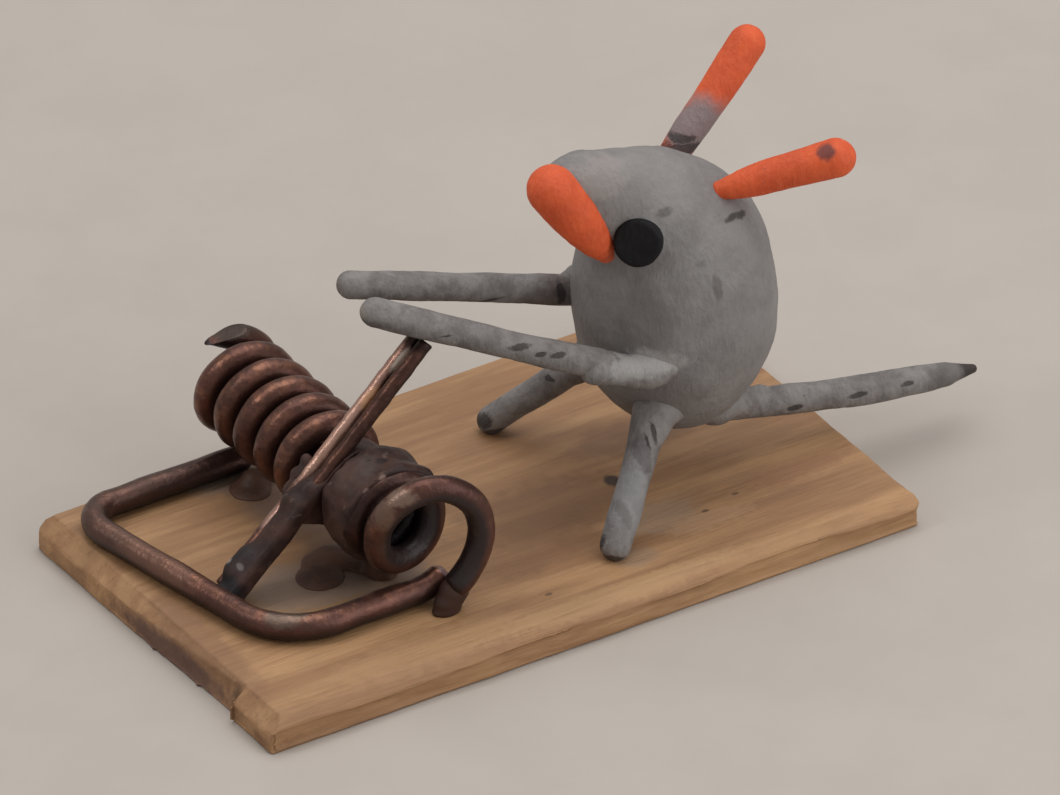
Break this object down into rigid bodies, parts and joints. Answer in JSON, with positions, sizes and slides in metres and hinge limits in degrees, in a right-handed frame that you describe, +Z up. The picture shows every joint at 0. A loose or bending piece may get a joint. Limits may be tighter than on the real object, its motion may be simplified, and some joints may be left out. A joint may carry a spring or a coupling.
{
  "type": "snap mouse trap",
  "caption": "Small wooden snap trap with a bent copper wire bail, two wire coils and a soldered lever, and a clay mouse that reaches for it",
  "frame": {"origin": "centre of the board's underside, which rests on a surface", "axes": "+X runs along the board from the trap to the mouse's tail, +Y across it to the mouse's left, +Z up"},
  "size_m": [0.0544, 0.0275, 0.0279],
  "materials": {
    "board_wood": "bare, hand cut",
    "copper_wire": "copper with a brown patina",
    "solder": "dark solder and flux, half gloss",
    "glue": "brown glue, glossy",
    "grey_clay": "painted clay, matte",
    "orange_clay": "painted clay, matte",
    "black_clay": "painted clay, matte"
  },
  "bodies": {
    "root": {"board": "board_wood", "left_coil": "copper_wire", "right_coil": "copper_wire", "coil_skin": "solder", "left_coil_glue": "glue", "middle_glue": "glue", "loop_end_glue": "glue", "mouse_body": "grey_clay", "nose": "orange_clay", "left_ear": "orange_clay", "right_ear": "orange_clay", "left_eye": "black_clay", "right_eye": "black_clay", "left_arm": "grey_clay", "right_arm": "grey_clay", "left_leg": "grey_clay", "right_leg": "grey_clay", "tail": "grey_clay", "left_shoulder_putty": "grey_clay", "right_shoulder_putty": "grey_clay", "left_hip_putty": "grey_clay", "right_hip_putty": "grey_clay", "tail_putty": "grey_clay"},
    "snap": {"snap_bar": "copper_wire", "axle": "copper_wire", "lever_left_wire": "copper_wire", "lever_right_wire": "copper_wire", "lever_solder": "solder", "axle_solder": "solder"}
  },
  "joints": [
    {"name": "bail_swing", "type": "hinge", "parent": "root", "child": "snap", "pos_m": [-0.009, 0, 0.0073], "axis": [0, 1, 0], "range_deg": [0, 84], "stiffness_Nm_per_rad": 0.0004, "springref_deg": -34.38}
  ]
}
